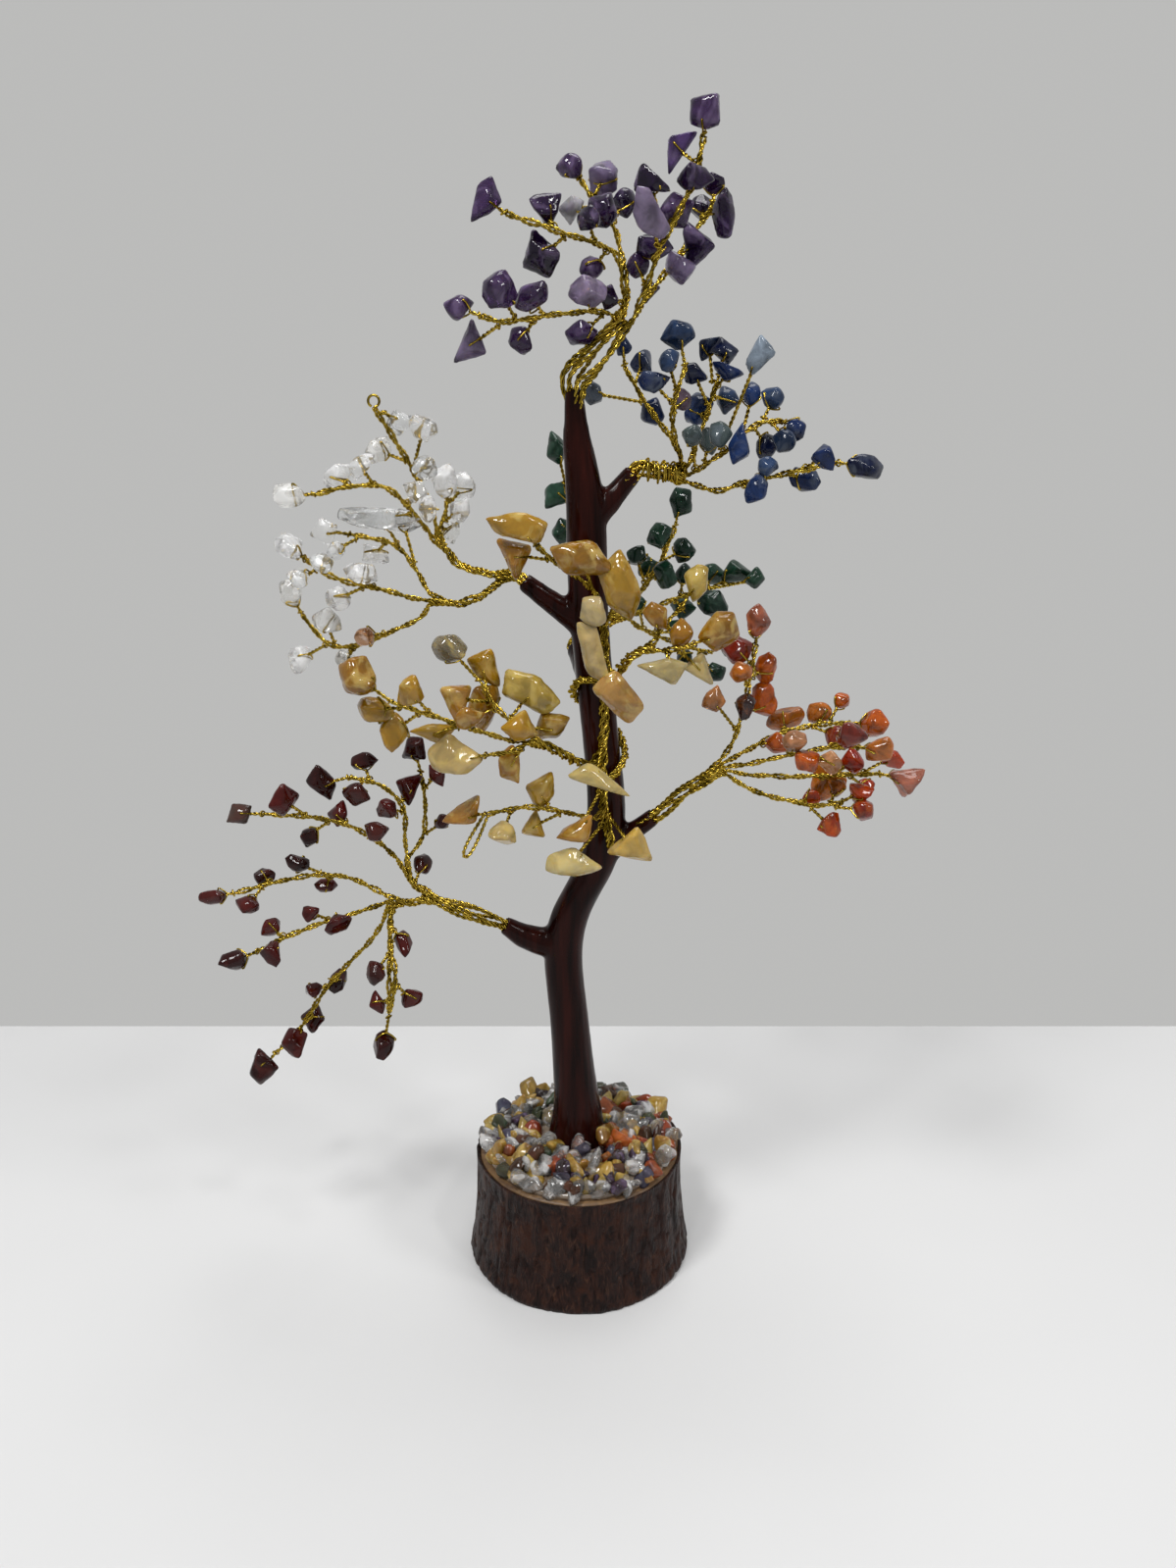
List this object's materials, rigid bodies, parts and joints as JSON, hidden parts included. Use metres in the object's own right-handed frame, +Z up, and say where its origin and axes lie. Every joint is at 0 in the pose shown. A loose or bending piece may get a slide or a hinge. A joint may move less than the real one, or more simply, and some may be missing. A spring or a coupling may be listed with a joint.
{
  "type": "gemstone tree ornament",
  "caption": "Small tree ornament: drilled stone chips on twisted brass wire sprays, set in a lacquered trunk on a bark-edged log slice bedded with chips.",
  "frame": {"origin": "centre of the log slice's flat foot", "axes": "+Z up the tree; the front is seen along +Y, with +X to the viewer's right"},
  "size_m": [0.16, 0.068, 0.2535],
  "materials": {
    "log_wood": "cut edge, rubbed smooth",
    "bark": "rough, dry",
    "resin": "clear, poured",
    "trunk_lacquer": "thick gloss lacquer",
    "brass_wire": "bright drawn wire",
    "amethyst_stone": "tumbled, polished",
    "lapis_stone": "tumbled, polished",
    "quartz_stone": "tumbled, clear, polished",
    "carnelian_stone": "tumbled, polished",
    "garnet_stone": "tumbled, polished",
    "aventurine_stone": "tumbled, polished",
    "yellow_stone": "tumbled, polished"
  },
  "bodies": {
    "stand": {"base_log": "log_wood", "bark_ring": "bark", "resin_bed": "resin", "base_chips_clear": "quartz_stone", "base_chips_amethyst": "amethyst_stone", "base_chips_orange": "carnelian_stone", "base_chips_yellow": "yellow_stone", "base_chips_green": "aventurine_stone", "base_chips_blue": "lapis_stone", "base_chips_red": "garnet_stone", "trunk": "trunk_lacquer", "wire_roots": "brass_wire", "yellow_binding": "brass_wire", "yellow_spine": "brass_wire", "yellow_front_twigs": "brass_wire", "yellow_front_stems": "brass_wire", "yellow_front_stones": "yellow_stone"},
    "amethyst_bough": {"amethyst_bundle": "brass_wire", "amethyst_twigs": "brass_wire", "amethyst_stems": "brass_wire", "amethyst_stones": "amethyst_stone"},
    "lapis_bough": {"lapis_bundle": "brass_wire", "lapis_twigs": "brass_wire", "lapis_stems": "brass_wire", "lapis_stones": "lapis_stone"},
    "quartz_bough": {"quartz_bundle": "brass_wire", "quartz_twigs": "brass_wire", "quartz_stems": "brass_wire", "quartz_stones": "quartz_stone"},
    "carnelian_bough": {"carnelian_bundle": "brass_wire", "carnelian_twigs": "brass_wire", "carnelian_stems": "brass_wire", "carnelian_stones": "carnelian_stone"},
    "garnet_bough": {"garnet_bundle": "brass_wire", "garnet_twigs": "brass_wire", "garnet_stems": "brass_wire", "garnet_stones": "garnet_stone"},
    "green_bough": {"green_bundle": "brass_wire", "green_twigs": "brass_wire", "green_stems": "brass_wire", "green_stones": "aventurine_stone"},
    "yellow_left_bough": {"yellow_left_bundle": "brass_wire", "yellow_left_twigs": "brass_wire", "yellow_left_stems": "brass_wire", "yellow_left_stones": "yellow_stone"},
    "yellow_low_bough": {"yellow_low_twigs": "brass_wire", "yellow_low_stems": "brass_wire", "yellow_low_stones": "yellow_stone"},
    "yellow_right_bough": {"yellow_right_bundle": "brass_wire", "yellow_right_twigs": "brass_wire", "yellow_right_stems": "brass_wire", "yellow_right_stones": "yellow_stone"}
  },
  "joints": [
    {"name": "amethyst_bend", "type": "hinge", "parent": "stand", "child": "amethyst_bough", "pos_m": [-0.00081, 0, 0.2047], "axis": [1, 0, 0], "range_deg": [-20, 20]},
    {"name": "lapis_bend", "type": "hinge", "parent": "stand", "child": "lapis_bough", "pos_m": [0.01262, 0.00342, 0.18756], "axis": [0, 0, 1], "range_deg": [-20, 20]},
    {"name": "quartz_bend", "type": "hinge", "parent": "stand", "child": "quartz_bough", "pos_m": [-0.01286, 0.00227, 0.16546], "axis": [0, 0, 1], "range_deg": [-30, 30]},
    {"name": "carnelian_bend", "type": "hinge", "parent": "stand", "child": "carnelian_bough", "pos_m": [0.01793, -0.00224, 0.11446], "axis": [0, 0, 1], "range_deg": [-30, 30]},
    {"name": "garnet_bend", "type": "hinge", "parent": "stand", "child": "garnet_bough", "pos_m": [-0.01845, -0.00232, 0.08805], "axis": [0, 0, 1], "range_deg": [-30, 30]},
    {"name": "green_bend", "type": "hinge", "parent": "stand", "child": "green_bough", "pos_m": [-0.00117, 0.01251, 0.1488], "axis": [0, 0, 1], "range_deg": [-20, 20]},
    {"name": "yellow_left_bend", "type": "hinge", "parent": "stand", "child": "yellow_left_bough", "pos_m": [0.00232, -0.00626, 0.1256], "axis": [0, 0, 1], "range_deg": [-10, 10]},
    {"name": "yellow_low_bend", "type": "hinge", "parent": "stand", "child": "yellow_low_bough", "pos_m": [0.00401, -0.00641, 0.114], "axis": [0, 0, 1], "range_deg": [-10, 10]},
    {"name": "yellow_right_bend", "type": "hinge", "parent": "stand", "child": "yellow_right_bough", "pos_m": [0.00792, -0.00537, 0.1455], "axis": [0, 0, 1], "range_deg": [-12, 12]}
  ]
}
